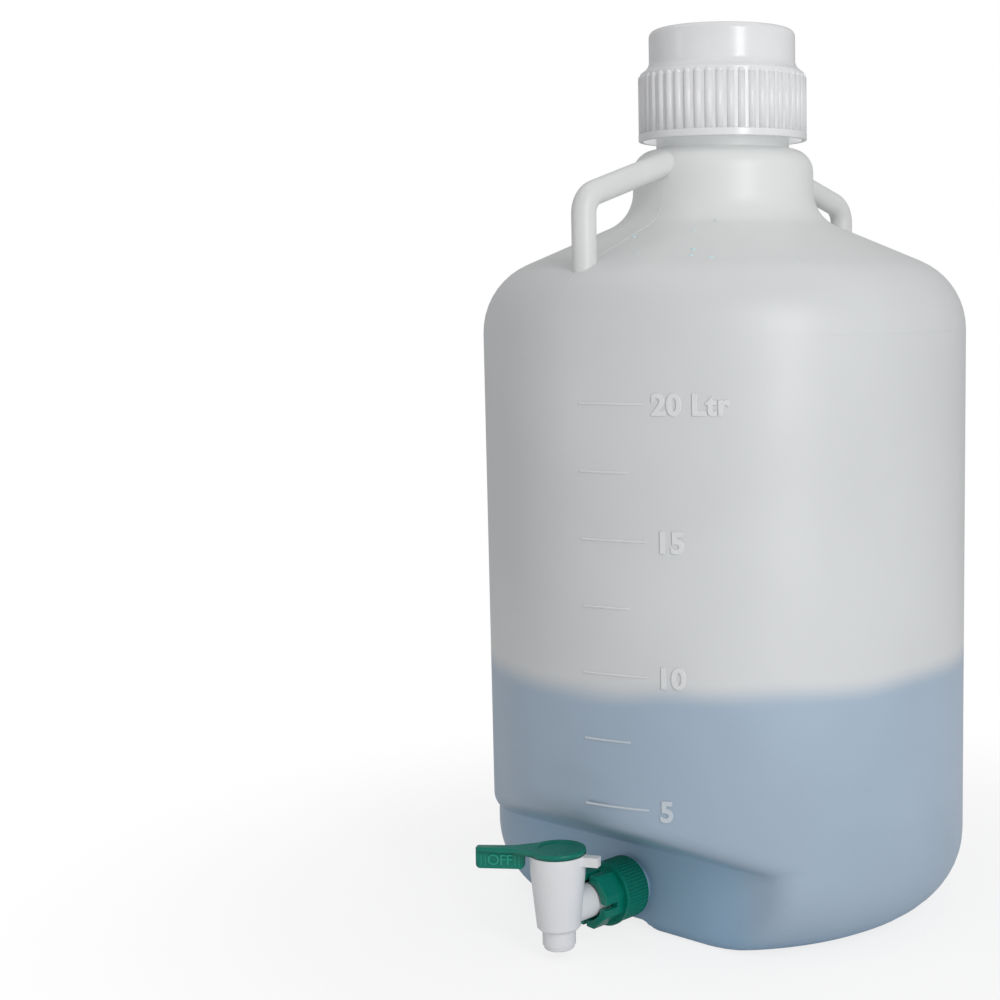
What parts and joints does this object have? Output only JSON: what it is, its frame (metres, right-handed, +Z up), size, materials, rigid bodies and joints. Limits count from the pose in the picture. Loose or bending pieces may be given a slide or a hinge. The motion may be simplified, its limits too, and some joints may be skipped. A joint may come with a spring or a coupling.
{
  "type": "carboy with spigot",
  "caption": "Cylindrical plastic carboy with a ribbed screw cap, bar handles, litre bars, and a lever tap on a slotted nut in a recess at the foot; part filled.",
  "frame": {"origin": "centre of the base, on the shell's axis", "axes": "+Z up along the shell's axis; -Y outwards along the tap's inlet; +X to the right as seen facing the tap"},
  "size_m": [0.296, 0.3306, 0.5375],
  "materials": {
    "shell_hdpe": "satin translucent",
    "handle_hdpe": "satin",
    "cap_white": "semi-gloss",
    "liner_foam": "matte",
    "gasket_rubber": "matte",
    "tap_white": "semi-gloss",
    "tap_green": "semi-gloss",
    "liquid": "clear"
  },
  "bodies": {
    "carboy": {"carboy_body": "shell_hdpe", "carboy_shoulder": "shell_hdpe", "carboy_neck": "shell_hdpe", "handle_front": "handle_hdpe", "handle_rear": "handle_hdpe", "port_gasket": "gasket_rubber", "tap_body": "tap_white", "liquid": "liquid"},
    "cap_seal": {"cap_liner": "liner_foam"},
    "cap": {"screw_cap": "cap_white"},
    "tap_key": {"tap_lever": "tap_green"},
    "nut": {"spigot_nut": "tap_green"}
  },
  "joints": [
    {"name": "cap_lift", "type": "slide", "parent": "carboy", "child": "cap_seal", "axis": [0, 0, 1], "range_m": [0, 0.12]},
    {"name": "cap_turn", "type": "hinge", "parent": "cap_seal", "child": "cap", "pos_m": [0, 0, 0.5], "axis": [0, 0, 1], "continuous": true},
    {"name": "tap_turn", "type": "hinge", "parent": "carboy", "child": "tap_key", "pos_m": [0, -0.1542, 0.04], "axis": [0, 0, 1], "range_deg": [0, 90]},
    {"name": "nut_turn", "type": "hinge", "parent": "carboy", "child": "nut", "pos_m": [0, -0.11, 0.0273], "axis": [0, -1, 0], "continuous": true}
  ]
}
